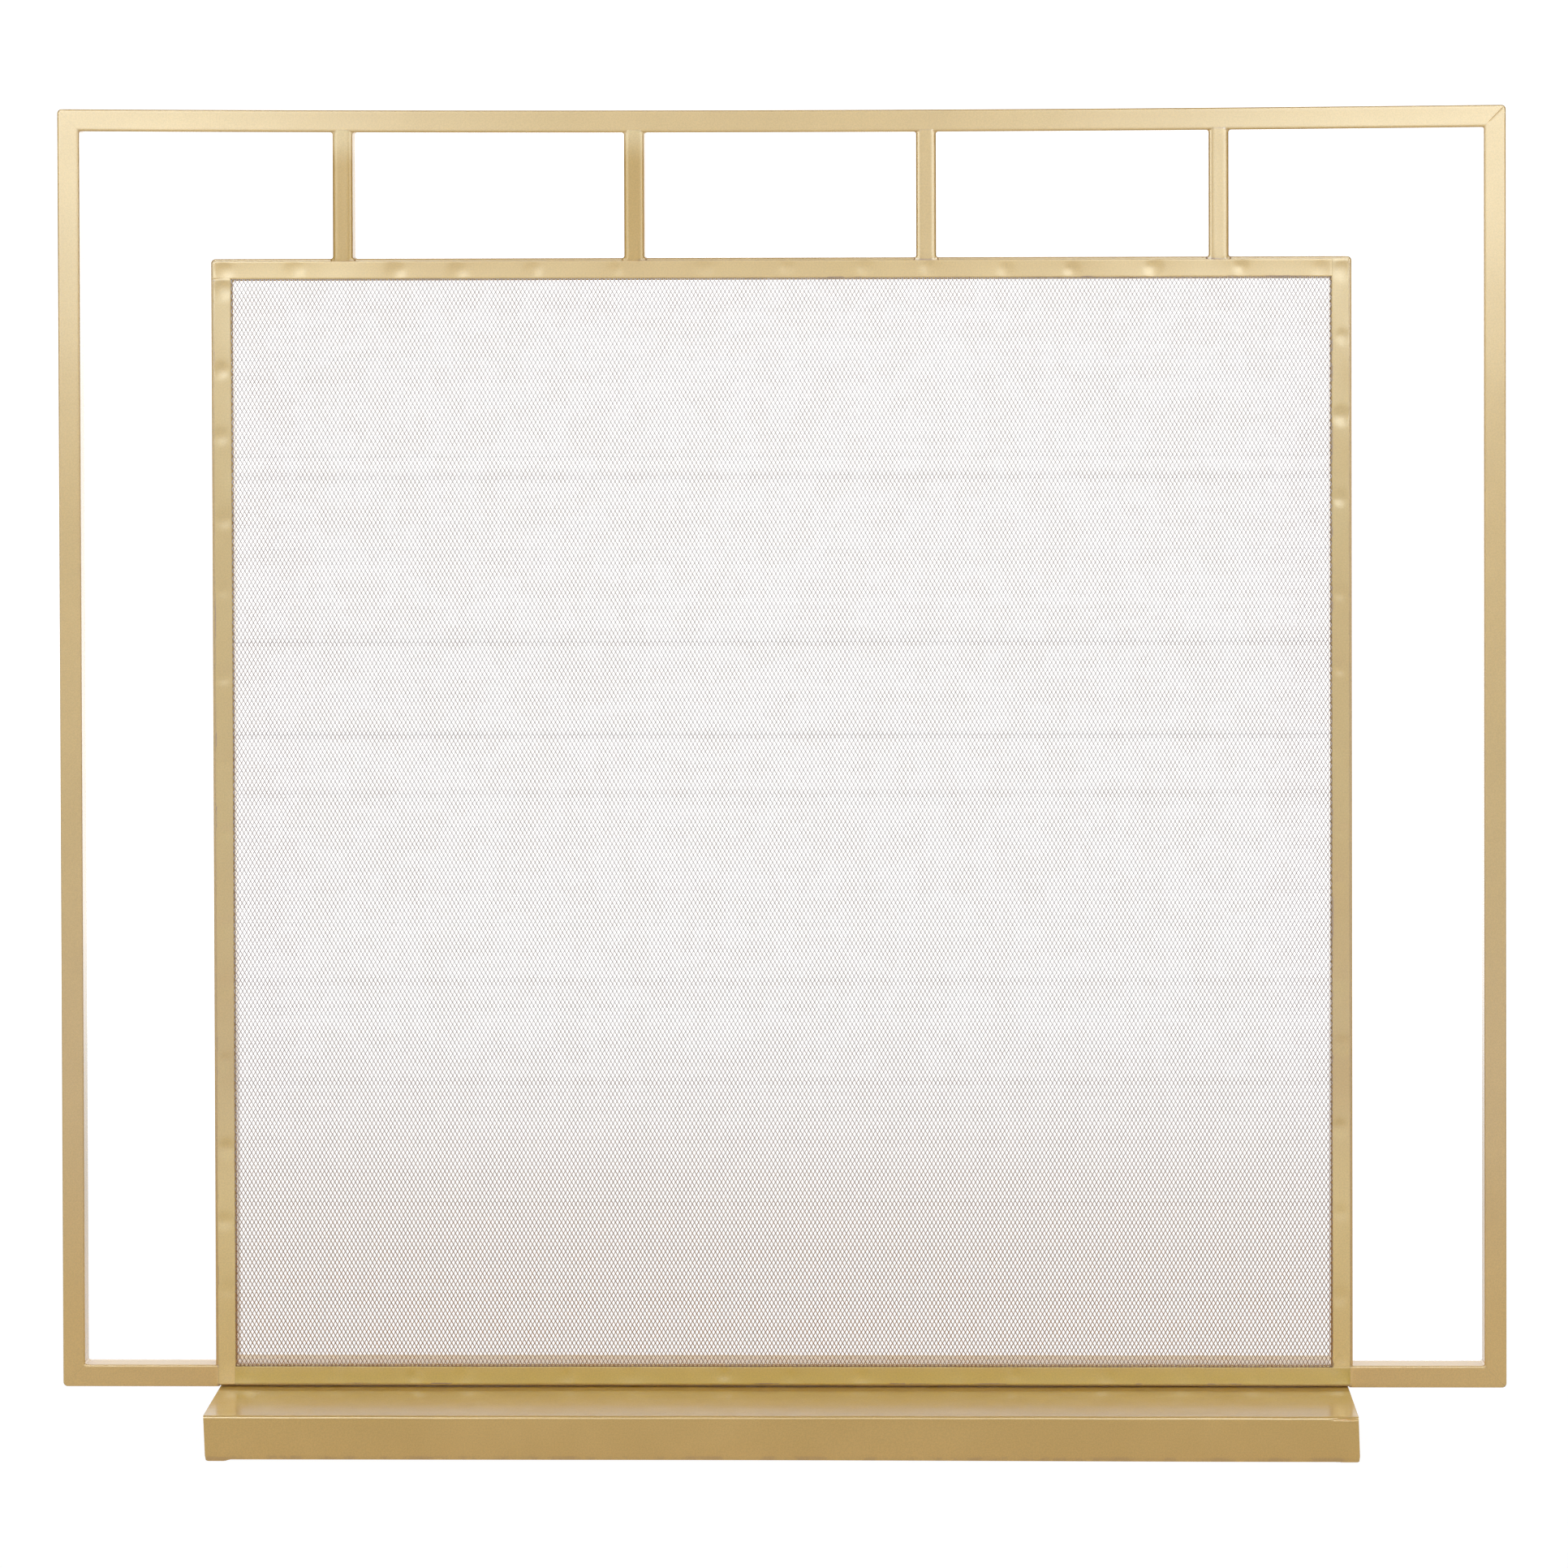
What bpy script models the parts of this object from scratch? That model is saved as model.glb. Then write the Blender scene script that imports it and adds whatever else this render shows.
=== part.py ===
"""Fireplace screen: a tube frame that carries a framed mesh panel, on a folded sheet base.

Metres, +Z up. The hearth is z = 0, the screen faces -Y, and the origin is below its middle.
"""
import math

import bmesh
import bpy
from mathutils import Vector

OBJECT_NAME = "fireplace_screen"

# Driving dimensions.
OVERALL_WIDTH = 1.060
OVERALL_HEIGHT = 0.970
GAP = 0.0003  # clearance between pieces that touch or are welded

TUBE_FACE = 0.016  # width of the frame's tubes, as seen from the front
TUBE_DEPTH = 0.025  # outer frame and struts, front to back
TUBE_WALL = 0.0012
TUBE_RADIUS = 0.0020

PANEL_WIDTH = 0.835
PANEL_TOP = 0.861
STRUT_FACE = 0.0145  # the struts are of slightly narrower tube
STRUT_SPACING = 0.2136
STRUT_COUNT = 4

MESH_THICKNESS = 0.0012
STRIP_THICKNESS = 0.0012
STRIP_WIDTH = 0.0138
STRIP_EDGE = 0.0003  # rounding of the strips' edges
MESH_HEM = 0.0009  # how far the mesh stays inside the strips' outer edges at the sides and top

BASE_LENGTH = 0.828
BASE_DEPTH = 0.260
BASE_TOP = 0.033
BASE_SHEET = 0.0015
BASE_BEND_RADIUS = 0.0022
FOOT_SIZE = 0.018
FOOT_THICKNESS = 0.0010
FOOT_EDGE = 0.0002

SCREW_RADIUS = 0.0025
SCREW_HEAD_RADIUS = 0.0047
SCREW_HEAD_HEIGHT = 0.0027
SCREW_HOLE_RADIUS = 0.0029
SCREW_BORE_RADIUS = 0.0028
SCREW_TIP = 0.0020  # how far a screw stands out of its nut
SOCKET_RADIUS = 0.0017
SOCKET_DEPTH = 0.0014
SCREW_CHAMFER = 0.0006
SCREW_CROWN = 0.0008
WASHER_RADIUS = 0.0052
WASHER_THICKNESS = 0.0010
NUT_RADIUS = 0.0046
NUT_HEIGHT = 0.0040
SCREW_POSITIONS = (-0.330, -0.110, 0.110, 0.330)

# Facets, and the tolerances of the modelling itself.
CORNER_STEPS = 4
ROUND_STEPS = 24
HEX_SIDES = 6
EDGE_STEPS = 2
QUARTER_TURN = math.pi / 2
SHARP_ANGLE = math.radians(30)
MERGE_DISTANCE = 1e-6

# Places that follow from the sizes above.
FRONT = -TUBE_DEPTH / 2
BACK = TUBE_DEPTH / 2
STRIP_BACK = FRONT + STRIP_THICKNESS
MESH_FRONT = STRIP_BACK + GAP
MESH_BACK = MESH_FRONT + MESH_THICKNESS
PANEL_TUBE_FRONT = MESH_BACK + GAP
PANEL_TUBE_DEPTH = BACK - PANEL_TUBE_FRONT
PANEL_TUBE_Y = (PANEL_TUBE_FRONT + BACK) / 2
PANEL_BOTTOM = BASE_TOP + GAP
PANEL_HEIGHT = PANEL_TOP - PANEL_BOTTOM
FRAME_HEIGHT = OVERALL_HEIGHT - BASE_TOP
STRIP_INSET = (TUBE_FACE - STRIP_WIDTH) / 2
BASE_UNDERSIDE = BASE_TOP - BASE_SHEET
BASE_EDGE = FOOT_THICKNESS + GAP

# Colours are linear RGB.
BRASS_PAINT = (0.58, 0.42, 0.20)
MESH_PAINT = (0.34, 0.24, 0.16)
ZINC = (0.55, 0.56, 0.57)


def clear_scene():
    """Remove whatever the open file holds."""
    for old in list(bpy.data.objects):
        bpy.data.objects.remove(old)


def new_collection(name):
    """A collection linked to the scene."""
    collection = bpy.data.collections.new(name)
    bpy.context.scene.collection.children.link(collection)
    return collection


def paint_material(name, colour, roughness, metallic):
    """A Principled BSDF material."""
    material = bpy.data.materials.new(name)
    material.use_nodes = True
    shader = material.node_tree.nodes["Principled BSDF"]
    shader.inputs["Base Color"].default_value = (*colour, 1.0)
    shader.inputs["Roughness"].default_value = roughness
    shader.inputs["Metallic"].default_value = metallic
    return material


def brass_paint(name):
    """Satin brass-coloured paint on steel."""
    return paint_material(name + "_paint", BRASS_PAINT, 0.42, 0.75)


def mesh_paint(name):
    """The thinner, browner coat on the mesh strands."""
    return paint_material(name + "_paint", MESH_PAINT, 0.50, 0.60)


def zinc_plate(name):
    """Bright zinc plating on hidden fasteners."""
    return paint_material(name + "_plating", ZINC, 0.35, 1.0)


def add_piece(name, mesh, material, collection):
    """An object for one physical piece, smooth on its rounds and sharp at its edges."""
    mesh.name = name
    piece = bpy.data.objects.new(name, mesh)
    collection.objects.link(piece)
    mesh.materials.clear()
    mesh.materials.append(material)
    mesh.shade_smooth()
    mesh.set_sharp_from_angle(angle=SHARP_ANGLE)
    return piece


def rounded_rectangle(width, depth, radius):
    """Points anticlockwise round a rectangle with quarter-circle corners."""
    points = []
    for corner, (side_x, side_y) in enumerate(((1, 1), (-1, 1), (-1, -1), (1, -1))):
        centre_x = side_x * (width / 2 - radius)
        centre_y = side_y * (depth / 2 - radius)
        for step in range(CORNER_STEPS + 1):
            angle = QUARTER_TURN * (corner + step / CORNER_STEPS)
            points.append((centre_x + radius * math.cos(angle), centre_y + radius * math.sin(angle)))
    return points


def regular_polygon(radius, sides):
    """Points anticlockwise on a circle."""
    angles = [2 * math.pi * side / sides for side in range(sides)]
    return [(radius * math.cos(angle), radius * math.sin(angle)) for angle in angles]


def extruded_outline(outlines, length):
    """A closed mesh: flat outlines in XY, filled between them, and extruded along Z."""
    curve = bpy.data.curves.new("outline", "CURVE")
    curve.dimensions = "2D"
    curve.fill_mode = "BOTH"
    curve.extrude = length / 2
    for outline in outlines:
        spline = curve.splines.new("POLY")
        spline.points.add(len(outline) - 1)
        for point, (x, y) in zip(spline.points, outline):
            point.co = (x, y, 0, 1)
        spline.use_cyclic_u = True
    drawn = bpy.data.objects.new("outline", curve)
    bpy.context.scene.collection.objects.link(drawn)
    evaluated = drawn.evaluated_get(bpy.context.evaluated_depsgraph_get())
    mesh = bpy.data.meshes.new_from_object(evaluated)
    bpy.data.objects.remove(drawn)
    welded = bmesh.new()
    welded.from_mesh(mesh)
    bmesh.ops.remove_doubles(welded, verts=welded.verts, dist=MERGE_DISTANCE)
    bmesh.ops.recalc_face_normals(welded, faces=welded.faces)
    welded.to_mesh(mesh)
    welded.free()
    return mesh


def tube_mesh(length, depth, face=TUBE_FACE, mitre_low=False, mitre_high=False):
    """A hollow tube along Z, its outer side at -X. A mitred end is cut back at 45 degrees to +X."""
    outer = rounded_rectangle(face, depth, TUBE_RADIUS)
    bore_radius = TUBE_RADIUS - TUBE_WALL
    inner = rounded_rectangle(face - 2 * TUBE_WALL, depth - 2 * TUBE_WALL, bore_radius)
    mesh = extruded_outline([outer, inner], length)
    for vertex in mesh.vertices:
        cut_back = vertex.co.x + face / 2 + GAP / math.sqrt(2)
        if vertex.co.z > 0 and mitre_high:
            vertex.co.z -= cut_back
        if vertex.co.z < 0 and mitre_low:
            vertex.co.z += cut_back
    return mesh


def lay(outer_side):
    """Rotation that lays a Z-long tube along X, its outer side up (+1) or down (-1)."""
    return (0, outer_side * QUARTER_TURN, 0)


def stand(outer_side):
    """Rotation of an upright tube, its outer side to -X (-1) or to +X (+1)."""
    return (0, 0, math.pi if outer_side > 0 else 0)


def box_mesh(size):
    """A cuboid centred on its origin."""
    solid = bmesh.new()
    bmesh.ops.create_cube(solid, size=1.0)
    bmesh.ops.scale(solid, verts=solid.verts, vec=Vector(size))
    mesh = bpy.data.meshes.new("box")
    solid.to_mesh(mesh)
    solid.free()
    return mesh


def add_box(name, low, high, bevel, material, collection):
    """A cuboid between two corners, with its edges rounded."""
    low, high = Vector(low), Vector(high)
    piece = add_piece(name, box_mesh(high - low), material, collection)
    piece.location = (low + high) / 2
    if bevel:
        rounding = piece.modifiers.new("edges", "BEVEL")
        rounding.width = bevel
        rounding.segments = EDGE_STEPS
        rounding.limit_method = "ANGLE"
    return piece


def add_cutter(name, radius, sides, low_z, high_z, x, cutters):
    """An upright round or hexagonal cutter."""
    solid = bmesh.new()
    bmesh.ops.create_cone(
        solid, cap_ends=True, segments=sides, radius1=radius, radius2=radius, depth=high_z - low_z
    )
    mesh = bpy.data.meshes.new(name)
    solid.to_mesh(mesh)
    solid.free()
    cutter = bpy.data.objects.new(name, mesh)
    cutters.objects.link(cutter)
    cutter.location = (x, PANEL_TUBE_Y, (low_z + high_z) / 2)
    cutter.hide_render = True
    cutter.display_type = "WIRE"
    return cutter


def cut(piece, cutter):
    """Subtract a cutter from a piece."""
    hole = piece.modifiers.new(cutter.name, "BOOLEAN")
    hole.operation = "DIFFERENCE"
    hole.object = cutter


def outer_frame(collection):
    """Top rail, two posts, and the two stubs that reach in to the panel below."""
    edge = OVERALL_WIDTH / 2
    middle = TUBE_FACE / 2
    top = tube_mesh(OVERALL_WIDTH, TUBE_DEPTH, mitre_low=True, mitre_high=True)
    piece = add_piece("outer_top_rail", top, brass_paint("outer_top_rail"), collection)
    piece.rotation_euler = lay(1)
    piece.location = (0, 0, OVERALL_HEIGHT - middle)
    for name, side in (("left", -1), ("right", 1)):
        post = tube_mesh(FRAME_HEIGHT, TUBE_DEPTH, mitre_low=True, mitre_high=True)
        node = f"outer_{name}_post"
        piece = add_piece(node, post, brass_paint(node), collection)
        piece.rotation_euler = stand(side)
        piece.location = (side * (edge - middle), 0, BASE_TOP + FRAME_HEIGHT / 2)
        length = edge - PANEL_WIDTH / 2 - GAP
        stub = tube_mesh(length, TUBE_DEPTH, mitre_low=side > 0, mitre_high=side < 0)
        node = f"outer_bottom_rail_{name}"
        piece = add_piece(node, stub, brass_paint(node), collection)
        piece.rotation_euler = lay(-1)
        piece.location = (side * (edge - length / 2), 0, BASE_TOP + middle)


def top_struts(collection):
    """Short uprights that hang the panel from the top rail."""
    low = PANEL_TOP + GAP
    high = OVERALL_HEIGHT - TUBE_FACE - GAP
    for number in range(STRUT_COUNT):
        node = f"top_strut_{number + 1}"
        strut = tube_mesh(high - low, TUBE_DEPTH, face=STRUT_FACE)
        piece = add_piece(node, strut, brass_paint(node), collection)
        x = (number - (STRUT_COUNT - 1) / 2) * STRUT_SPACING
        piece.location = (x, 0, (low + high) / 2)


def panel_frame(collection):
    """The mitred tube frame behind the mesh. Returns its bottom rail."""
    middle = TUBE_FACE / 2
    edge = PANEL_WIDTH / 2
    rails = {}
    for name, side, height in (("top", 1, PANEL_TOP), ("bottom", -1, PANEL_BOTTOM)):
        node = f"panel_{name}_rail"
        rail = tube_mesh(PANEL_WIDTH, PANEL_TUBE_DEPTH, mitre_low=True, mitre_high=True)
        rails[name] = add_piece(node, rail, brass_paint(node), collection)
        rails[name].rotation_euler = lay(side)
        rails[name].location = (0, PANEL_TUBE_Y, height - side * middle)
    for name, side in (("left", -1), ("right", 1)):
        node = f"panel_{name}_stile"
        stile = tube_mesh(PANEL_HEIGHT, PANEL_TUBE_DEPTH, mitre_low=True, mitre_high=True)
        piece = add_piece(node, stile, brass_paint(node), collection)
        piece.rotation_euler = stand(side)
        piece.location = (side * (edge - middle), PANEL_TUBE_Y, PANEL_BOTTOM + PANEL_HEIGHT / 2)
    return rails["bottom"]


def mesh_and_strips(collection):
    """The mesh sheet, and four flat strips that clamp it, each covering one corner in turn."""
    right = PANEL_WIDTH / 2 - STRIP_INSET
    top = PANEL_TOP - STRIP_INSET
    bottom = PANEL_BOTTOM + STRIP_INSET
    add_box(
        "mesh_panel",
        (-right + MESH_HEM, MESH_FRONT, bottom - MESH_HEM),
        (right - MESH_HEM, MESH_BACK, top - MESH_HEM),
        0,
        mesh_paint("mesh_panel"),
        collection,
    )
    inner_right = right - STRIP_WIDTH
    inner_top = top - STRIP_WIDTH
    inner_bottom = bottom + STRIP_WIDTH
    spans = {
        "clamp_strip_top": ((-right, inner_top), (inner_right - GAP, top)),
        "clamp_strip_right": ((inner_right, inner_bottom + GAP), (right, top)),
        "clamp_strip_bottom": ((-inner_right + GAP, bottom), (right, inner_bottom)),
        "clamp_strip_left": ((-right, bottom), (-inner_right, inner_top - GAP)),
    }
    for node, ((low_x, low_z), (high_x, high_z)) in spans.items():
        low = (low_x, FRONT, low_z)
        high = (high_x, STRIP_BACK, high_z)
        add_box(node, low, high, STRIP_EDGE, brass_paint(node), collection)


def channel_profile():
    """Points (y, z) over the folded sheet's outside, from its front edge to its back edge."""
    half = BASE_DEPTH / 2
    radius = BASE_BEND_RADIUS
    points = [(-half, BASE_EDGE)]
    for side in (-1, 1):
        for step in range(CORNER_STEPS + 1):
            turn = step / CORNER_STEPS if side < 0 else 1 - step / CORNER_STEPS
            angle = QUARTER_TURN * turn
            y = side * (half - radius + radius * math.cos(angle))
            points.append((y, BASE_TOP - radius + radius * math.sin(angle)))
    points.append((half, BASE_EDGE))
    return points


def base_channel(collection):
    """The base: one sheet folded down at the front and the back, open below."""
    surface = bmesh.new()
    row = [surface.verts.new((-BASE_LENGTH / 2, y, z)) for y, z in channel_profile()]
    edges = [surface.edges.new(pair) for pair in zip(row, row[1:])]
    swept = bmesh.ops.extrude_edge_only(surface, edges=edges)["geom"]
    moved = [part for part in swept if isinstance(part, bmesh.types.BMVert)]
    bmesh.ops.translate(surface, verts=moved, vec=(BASE_LENGTH, 0, 0))
    surface.normal_update()
    if sum(face.normal.z for face in surface.faces) < 0:
        bmesh.ops.reverse_faces(surface, faces=surface.faces)
    mesh = bpy.data.meshes.new("base_channel")
    surface.to_mesh(mesh)
    surface.free()
    piece = add_piece("base_channel", mesh, brass_paint("base_channel"), collection)
    sheet = piece.modifiers.new("sheet", "SOLIDIFY")
    sheet.thickness = BASE_SHEET
    sheet.offset = -1
    sheet.use_even_offset = True
    return piece


def base_ends_and_feet(collection):
    """Plates welded into the channel's ends, and a small pad under each corner."""
    end = BASE_LENGTH / 2
    inside = BASE_DEPTH / 2 - BASE_SHEET - GAP
    for name, side in (("left", -1), ("right", 1)):
        node = f"base_end_{name}"
        across = sorted((side * end, side * (end - BASE_SHEET)))
        low = (across[0], -inside, BASE_EDGE)
        high = (across[1], inside, BASE_UNDERSIDE - GAP)
        plate = add_box(node, low, high, 0, brass_paint(node), collection)
        corners = plate.modifiers.new("corners", "BEVEL")
        corners.width = BASE_BEND_RADIUS - BASE_SHEET
        corners.segments = EDGE_STEPS
        corners.limit_method = "ANGLE"
        for depth_name, depth_side in (("front", -1), ("back", 1)):
            node = f"base_foot_{depth_name}_{name}"
            outside = (side * end, depth_side * BASE_DEPTH / 2)
            inner = (side * (end - FOOT_SIZE), depth_side * (BASE_DEPTH / 2 - FOOT_SIZE))
            xs = sorted((outside[0], inner[0]))
            ys = sorted((outside[1], inner[1]))
            low = (xs[0], ys[0], 0)
            high = (xs[1], ys[1], FOOT_THICKNESS)
            add_box(node, low, high, FOOT_EDGE, brass_paint(node), collection)


def screw_mesh_profile(head_low, head_high, tip):
    """Profile (radius, z) of a pan-head screw that points up, from its tip down its outer side."""
    return [
        (0, tip),
        (SCREW_RADIUS - SCREW_CHAMFER, tip),
        (SCREW_RADIUS, tip - SCREW_CHAMFER),
        (SCREW_RADIUS, head_high),
        (SCREW_HEAD_RADIUS, head_high),
        (SCREW_HEAD_RADIUS, head_low + SCREW_CROWN),
        (SCREW_HEAD_RADIUS - SCREW_CROWN, head_low),
        (0, head_low),
    ]


def turned_piece(name, profile, material, collection):
    """A solid of revolution about Z from (radius, z) points."""
    mesh = bpy.data.meshes.new(name)
    vertices = [(radius, 0, z) for radius, z in profile]
    mesh.from_pydata(vertices, [(i, i + 1) for i in range(len(vertices) - 1)], [])
    piece = add_piece(name, mesh, material, collection)
    turning = piece.modifiers.new("turning", "SCREW")
    turning.axis = "Z"
    turning.angle = 2 * math.pi
    turning.steps = ROUND_STEPS
    turning.render_steps = ROUND_STEPS
    turning.use_merge_vertices = True
    turning.merge_threshold = MERGE_DISTANCE
    turning.use_smooth_shade = True
    return piece


def ring(name, outline, bore_radius, low_z, height, x, material, collection):
    """A nut or a washer: an outline with a round hole, standing on low_z."""
    bore = regular_polygon(bore_radius, ROUND_STEPS)
    mesh = extruded_outline([outline, bore], height)
    piece = add_piece(name, mesh, material, collection)
    piece.location = (x, PANEL_TUBE_Y, low_z + height / 2)
    return piece


def base_fasteners(channel, rail, collection, cutters):
    """Screws from below, through the base and into nuts welded inside the panel's bottom rail."""
    washer_low = BASE_UNDERSIDE - GAP - WASHER_THICKNESS
    head_high = washer_low - GAP
    nut_low = PANEL_BOTTOM + TUBE_WALL + GAP
    tip = nut_low + NUT_HEIGHT + SCREW_TIP
    head_low = head_high - SCREW_HEAD_HEIGHT
    for number, x in enumerate(SCREW_POSITIONS, start=1):
        hole_low = BASE_UNDERSIDE - BASE_SHEET
        hole_high = PANEL_BOTTOM + 2 * TUBE_WALL
        hole = add_cutter(
            f"screw_hole_{number}", SCREW_HOLE_RADIUS, ROUND_STEPS, hole_low, hole_high, x, cutters
        )
        cut(channel, hole)
        cut(rail, hole)
        node = f"base_washer_{number}"
        rim = regular_polygon(WASHER_RADIUS, ROUND_STEPS)
        ring(
            node, rim, SCREW_BORE_RADIUS, washer_low, WASHER_THICKNESS, x, zinc_plate(node), collection
        )
        node = f"rail_nut_{number}"
        hexagon = regular_polygon(NUT_RADIUS, HEX_SIDES)
        ring(node, hexagon, SCREW_BORE_RADIUS, nut_low, NUT_HEIGHT, x, zinc_plate(node), collection)
        node = f"base_screw_{number}"
        profile = screw_mesh_profile(head_low, head_high, tip)
        screw = turned_piece(node, profile, zinc_plate(node), collection)
        screw.location = (x, PANEL_TUBE_Y, 0)
        socket_low = head_low - SOCKET_DEPTH
        socket_high = head_low + SOCKET_DEPTH
        socket = add_cutter(
            f"screw_socket_{number}", SOCKET_RADIUS, HEX_SIDES, socket_low, socket_high, x, cutters
        )
        cut(screw, socket)


def main():
    """Build every piece."""
    clear_scene()
    collection = new_collection(OBJECT_NAME)
    cutters = new_collection("cutters")
    outer_frame(collection)
    top_struts(collection)
    bottom_rail = panel_frame(collection)
    mesh_and_strips(collection)
    channel = base_channel(collection)
    base_ends_and_feet(collection)
    base_fasteners(channel, bottom_rail, collection, cutters)


main()
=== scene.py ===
"""Visual model of a brass-painted fireplace screen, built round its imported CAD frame.

Metres, +Z up. The screen stands on z = 0 and faces -Y.
"""
import math

import bpy
import numpy as np
from mathutils import Matrix, Vector

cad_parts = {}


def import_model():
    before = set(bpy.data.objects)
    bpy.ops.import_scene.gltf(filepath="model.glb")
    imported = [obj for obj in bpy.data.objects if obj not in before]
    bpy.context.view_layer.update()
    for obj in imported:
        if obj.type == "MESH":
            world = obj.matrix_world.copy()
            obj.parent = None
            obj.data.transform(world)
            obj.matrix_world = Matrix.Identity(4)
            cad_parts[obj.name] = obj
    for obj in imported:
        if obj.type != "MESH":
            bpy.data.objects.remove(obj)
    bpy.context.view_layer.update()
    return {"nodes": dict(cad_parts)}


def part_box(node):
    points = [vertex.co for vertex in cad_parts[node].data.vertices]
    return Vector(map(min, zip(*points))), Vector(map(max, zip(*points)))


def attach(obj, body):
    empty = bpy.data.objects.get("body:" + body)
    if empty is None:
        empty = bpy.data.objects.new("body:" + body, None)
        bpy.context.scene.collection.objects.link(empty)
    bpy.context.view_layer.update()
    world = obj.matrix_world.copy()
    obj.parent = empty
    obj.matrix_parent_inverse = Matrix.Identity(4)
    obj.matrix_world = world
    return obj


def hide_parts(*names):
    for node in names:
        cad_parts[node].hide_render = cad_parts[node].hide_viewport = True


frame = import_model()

MM = 0.001
NODES = frame["nodes"]

# ---------------------------------------------------------------- sizes taken from the frame
RAIL_LOW, RAIL_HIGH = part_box("outer_top_rail")
POST_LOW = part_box("outer_left_post")[0]
STILE_LOW, STILE_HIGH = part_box("panel_left_stile")
MESH_LOW, MESH_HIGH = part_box("mesh_panel")
BASE_LOW, BASE_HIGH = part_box("base_channel")
STRIP_LEFT_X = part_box("clamp_strip_left")[0].x
STRIP_RIGHT_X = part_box("clamp_strip_right")[1].x
STRIP_HIGH_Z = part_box("clamp_strip_top")[1].z
FACE = RAIL_HIGH.z - RAIL_LOW.z
EDGE_X = RAIL_HIGH.x
TOP_Z = RAIL_HIGH.z
BOTTOM_Z = POST_LOW.z
FRONT_Y = RAIL_LOW.y
BACK_Y = RAIL_HIGH.y
PANEL_X = -STILE_LOW.x
PANEL_LOW_Z = STILE_LOW.z
PANEL_HIGH_Z = STILE_HIGH.z

# ---------------------------------------------------------------- finish of the metalwork
TUBE_RADIUS = 1.1 * MM
TUBE_SINK = 0.15 * MM  # mean depth of the tube faces' slight hollows
RIM_DROOP = 0.05 * MM  # how much the faces fall away beside their arrises
RIM_SHARE = 2.4  # a higher number keeps that fall nearer to the arrises
STRUT_DROOP = 0.70 * MM
STRUT_RIM_SHARE = 1.5
CORNER_RADIUS = 3.3 * MM  # outer corners, ground round after welding
INNER_FILLET = {"outer": 1.6 * MM, "stub": 2.2 * MM, "panel": 1.5 * MM}  # weld left in inner corners
FRAME_SEAM = 0.012 * MM  # depth of the filed mitre lines
PANEL_SEAM = 0.08 * MM
SCAR_DEPTH = 0.12 * MM  # open part of the top right mitre
SCAR_WIDTH = 0.45 * MM
RAIL_BOW = 2.3 * MM  # how far the top rail hangs in its middle
STUB_WELD = 1.6 * MM  # how far the stubs run under the strips' outer edges
STUB_DIVE = 0.5 * MM  # how far their faces dive there
STUB_DIVE_LENGTH = 4 * MM
STRUT_FLARE = 1.7 * MM
WELD_OVERLAP = 1.9 * MM  # how far dressed welds run over the neighbouring piece
MITRE_REACH = 30 * MM  # where the rings of a mitred tube are square again
STEP = 9 * MM
STRIP_STEP = 2.2 * MM
STRIP_EDGE = 0.28 * MM
STRIP_CORNER = 1.8 * MM
STRIP_INSET = 0.8 * MM  # how far the strips' outer edges were filed back from the tube's side
SEAM_CLOSE = 1.0 * MM  # the visible strips nearly touch where they butt
DENT_SPACING = 52 * MM
TAPER = 0.0080  # how much narrower the welded screen is at its top, as a share of its width


# ---------------------------------------------------------------- mesh helpers
def quad_mesh(name, points, quads, extra=()):
    """A mesh from an array of points, an array of quads, and a few larger faces."""
    mesh = bpy.data.meshes.new(name)
    faces = np.asarray(quads).tolist() + [list(face) for face in extra]
    mesh.from_pydata(np.asarray(points).tolist(), [], faces)
    mesh.validate()
    return mesh


def fast_quad_mesh(name, points, quads):
    """As quad_mesh, for very many quads."""
    mesh = bpy.data.meshes.new(name)
    mesh.vertices.add(len(points))
    mesh.vertices.foreach_set("co", np.asarray(points, np.float32).ravel())
    mesh.loops.add(4 * len(quads))
    mesh.loops.foreach_set("vertex_index", np.asarray(quads, np.int32).ravel())
    mesh.polygons.add(len(quads))
    mesh.polygons.foreach_set("loop_start", np.arange(len(quads), dtype=np.int32) * 4)
    mesh.update(calc_edges=True)
    return mesh


def add_piece(name, mesh, material, slot, *nodes, sharp=50):
    """An object that rides on the one body and stands for some CAD nodes."""
    mesh.name = name
    piece = bpy.data.objects.new(name, mesh)
    bpy.context.scene.collection.objects.link(piece)
    mesh.materials.append(material)
    mesh.shade_smooth()
    if sharp:
        mesh.set_sharp_from_angle(angle=math.radians(sharp))
    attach(piece, "root")
    if nodes:
        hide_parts(*nodes)
    return piece


def ring_faces(rings, count):
    """Quads between successive closed rings of count points."""
    start = np.arange(rings - 1)[:, None] * count
    along = np.arange(count)[None, :]
    after = (along + 1) % count
    quads = np.stack([start + along, start + after, start + count + after, start + count + along], -1)
    return quads.reshape(-1, 4)


def tapered(points):
    """Points drawn in towards the middle in proportion to their height."""
    points[..., 0] *= 1 - TAPER * points[..., 2] / TOP_Z
    return points


def swept(name, points):
    """A closed mesh through an array of rings, shaped (rings, points in a ring, 3)."""
    rings, count = points.shape[:2]
    points = tapered(points)
    first = list(range(count))[::-1]
    last = [(rings - 1) * count + index for index in range(count)]
    mesh = quad_mesh(name, points.reshape(-1, 3), ring_faces(rings, count), (first, last))
    return outward(mesh)


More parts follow.
